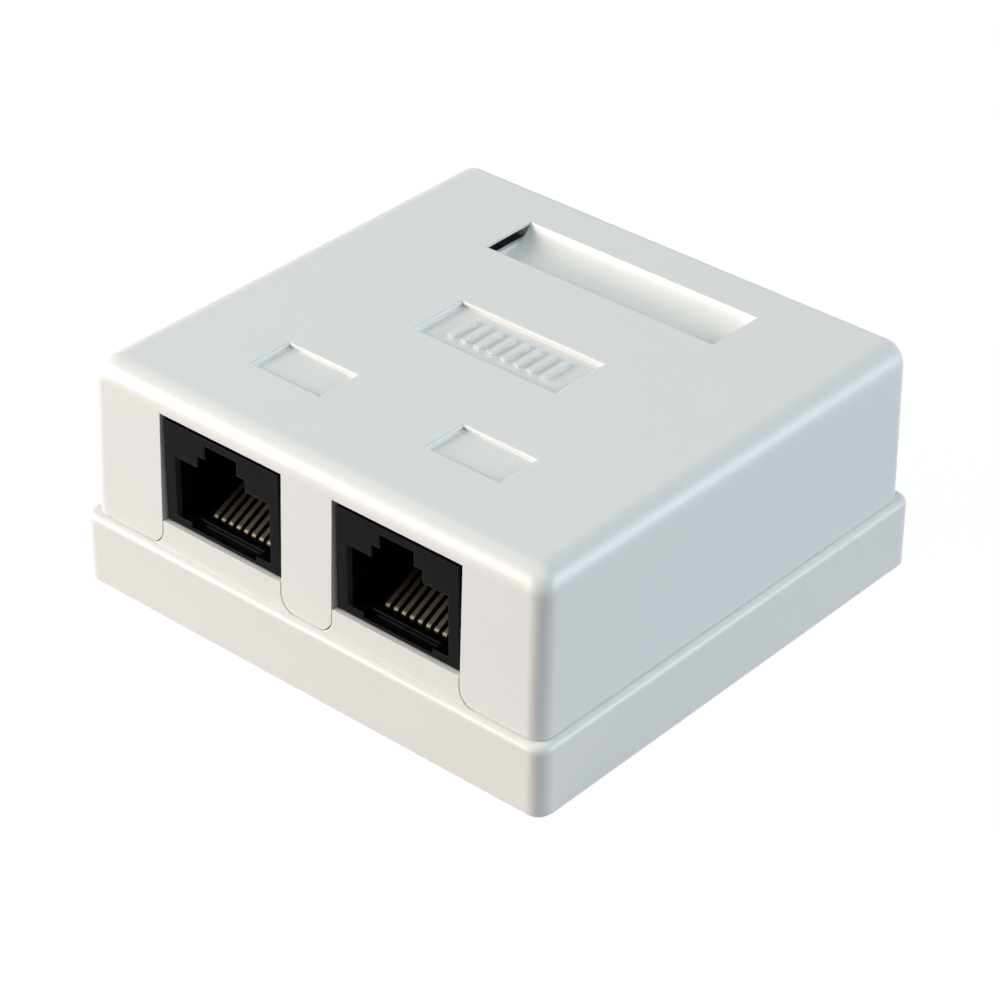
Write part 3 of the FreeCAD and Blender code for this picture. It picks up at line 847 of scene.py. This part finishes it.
def seen_white(made: Shading) -> Socket:
    """Make a mask for the rays that show the background: camera, glossy and transmission rays.

    Args:
        made: Tree of the material or world.

    Returns:
        A mask that is 1 for those rays.
    """
    path = made.add("ShaderNodeLightPath").outputs
    rays = ("Is Camera Ray", "Is Glossy Ray", "Is Transmission Ray")
    return made.any_of([path[ray] for ray in rays])


@dataclass(frozen=True)
class SoftBox:
    """A rectangular lamp that faces the box, with its power in watts."""

    name: str
    azimuth: float
    elevation: float
    power: float
    colour: Colour = (1.0, 1.0, 1.0)
    width: float = 0.5
    height: float = 0.4
    distance: float = 0.8

    def hang(self, target: Vector) -> None:
        """Put the lamp up.

        Args:
            target: Point that it faces.
        """
        data = bpy.data.lights.new(self.name, "AREA")
        data.shape = "RECTANGLE"
        data.size = self.width
        data.size_y = self.height
        data.energy = self.power
        data.color = self.colour
        lamp = bpy.data.objects.new(self.name, data)
        back = direction(self.azimuth, self.elevation)
        turn = back.to_track_quat("Z", "Y").to_matrix().to_4x4()
        lamp.matrix_world = Matrix.Translation(target + back * self.distance) @ turn
        bpy.context.scene.collection.objects.link(lamp)
        log.info("lamp %s: %.2f W", self.name, self.power)


@dataclass
class Stage:
    """Floor, lamps, background and camera.

    Attributes:
        distance: From the middle of the box to the camera.
        across: How far the camera is moved to its right.
        lift: How far the camera is moved up.
        floor_reach: From the middle of the floor to its sides.
        floor_gap: How far the floor lies below the box's underside.
        floor_shade: Level of the grey that the floor lights the box with.
        shadow_share: How strongly the floor shows the box's shadow.
        backdrop_glow: Level of the white that the floor is seen in.
        nearest: From the camera to the nearest thing that it shows.
        farthest: From the camera to the farthest thing that it shows.
    """

    azimuth: float = 41.074
    elevation: float = 33.179
    roll: float = 0.346
    distance: float = 0.342525
    lens_mm: float = 124.997
    sensor_mm: float = 36.0
    nearest: float = 0.01
    farthest: float = 20.0
    across: float = 0.000045
    lift: float = -0.00381
    floor_reach: float = 3.0
    floor_gap: float = 0.00002
    floor_shade: float = 0.5
    shadow_share: float = 0.12
    backdrop_glow: float = 0.93
    lamps: list[SoftBox] = field(default_factory=lambda: [
        SoftBox("left", azimuth=-57.0, elevation=20.0, power=3.65),
        SoftBox("left front", azimuth=-40.0, elevation=20.0, power=3.9, colour=(1.0, 0.87, 0.79)),
        SoftBox("overhead", azimuth=41.0, elevation=82.0, power=2.15, colour=(0.85, 1.0, 0.955),
                width=0.55, height=0.55),
        SoftBox("upper right", azimuth=90.0, elevation=52.0, power=0.35, colour=(0.85, 0.9, 1.0)),
        SoftBox("right", azimuth=120.0, elevation=20.0, power=3.75, colour=(0.82, 0.9, 1.0)),
    ])

    def floor_material(self) -> bpy.types.Material:
        """Make a floor that is seen white with the box's shadow, and lights the box as grey paper.

        Returns:
            The material.
        """
        material = bpy.data.materials.new("floor paper")
        material.use_nodes = True
        material.node_tree.nodes.clear()
        made = Shading(material.node_tree)
        paper = made.add("ShaderNodeBsdfDiffuse")
        paper.inputs["Color"].default_value = grey(self.floor_shade)
        shadow = made.add("ShaderNodeBsdfDiffuse")
        shadow.inputs["Color"].default_value = grey(self.shadow_share)
        glow = made.add("ShaderNodeEmission")
        glow.inputs["Strength"].default_value = self.backdrop_glow
        seen = made.add("ShaderNodeAddShader")
        made.join(shadow.outputs["BSDF"], seen.inputs[0])
        made.join(glow.outputs["Emission"], seen.inputs[1])
        choice = made.add("ShaderNodeMixShader")
        made.join(seen_white(made), choice.inputs["Fac"])
        made.join(paper.outputs["BSDF"], choice.inputs[1])
        made.join(seen.outputs["Shader"], choice.inputs[2])
        made.join(choice.outputs["Shader"], made.add("ShaderNodeOutputMaterial").inputs["Surface"])
        return material

    def lay_floor(self) -> None:
        """Lay the floor under the box."""
        mesh = bpy.data.meshes.new("floor")
        shape = bmesh.new()
        bmesh.ops.create_grid(shape, x_segments=1, y_segments=1, size=self.floor_reach)
        bmesh.ops.translate(shape, verts=shape.verts, vec=(0.0, 0.0, -self.floor_gap))
        shape.to_mesh(mesh)
        shape.free()
        mesh.materials.append(self.floor_material())
        floor = bpy.data.objects.new("floor", mesh)
        bpy.context.scene.collection.objects.link(floor)
        floor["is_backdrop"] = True

    def light_world(self) -> None:
        """Make the world white where it is seen and dark where it would light the box."""
        world = bpy.data.worlds.new("studio")
        world.use_nodes = True
        made = Shading(world.node_tree)
        background = world.node_tree.nodes["Background"]
        background.inputs["Color"].default_value = grey(1.0)
        made.join(seen_white(made), background.inputs["Strength"])
        bpy.context.scene.world = world

    def place_camera(self, centre: Vector) -> None:
        """Put the camera at the standard view of the box.

        Args:
            centre: Middle of the box.
        """
        back = direction(self.azimuth, self.elevation)
        turn = math.radians(self.azimuth)
        right = Vector((math.cos(turn), math.sin(turn), 0.0))
        up = back.cross(right)
        spot = centre + right * self.across + up * self.lift + back * self.distance
        roll = Matrix.Rotation(math.radians(self.roll), 3, "Z")
        facing = Matrix((right, up, back)).transposed() @ roll
        data = bpy.data.cameras.new("camera")
        data.lens = self.lens_mm
        data.sensor_width = self.sensor_mm
        data.clip_start = self.nearest
        data.clip_end = self.farthest
        camera = bpy.data.objects.new("camera", data)
        camera.matrix_world = Matrix.Translation(spot) @ facing.to_4x4()
        bpy.context.scene.collection.objects.link(camera)
        bpy.context.scene.camera = camera
        log.info("camera: %.1f mm lens", self.lens_mm)

    def build(self) -> None:
        """Set up the whole stage."""
        low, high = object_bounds()
        self.lay_floor()
        self.light_world()
        self.place_camera((low + high) / 2)
        under_the_box = Vector((0.0, 0.0, 0.0))
        for lamp in self.lamps:
            lamp.hang(under_the_box)
        bpy.context.scene.view_settings.view_transform = "Standard"


def main() -> None:
    """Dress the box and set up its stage."""
    logging.basicConfig(level=logging.INFO)
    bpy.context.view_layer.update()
    patterns = Patterns.build()
    Case().build(patterns)
    ports = [ModularJack(side) for side in Side]
    shell = JACK_BLACK.build(patterns)
    carrier = CARRIER_BLACK.build(patterns)
    # Finish of the contact wires, darkened as painted shade.
    gold_with_painted_shade = CONTACT_GOLD_WITH_PAINTED_SHADE.build(patterns)
    for port in ports:
        port.build(shell, carrier, gold_with_painted_shade)
    blocks = [PunchDownBlock(side) for side in Side]
    ivory = BLOCK_IVORY.build(patterns)
    tin = BLADE_TIN.build(patterns)
    for block in blocks:
        block.build(ivory, tin)
    CircuitBoard().build(patterns, ports, blocks)
    Stage().build()


if __name__ == "__main__":
    main()
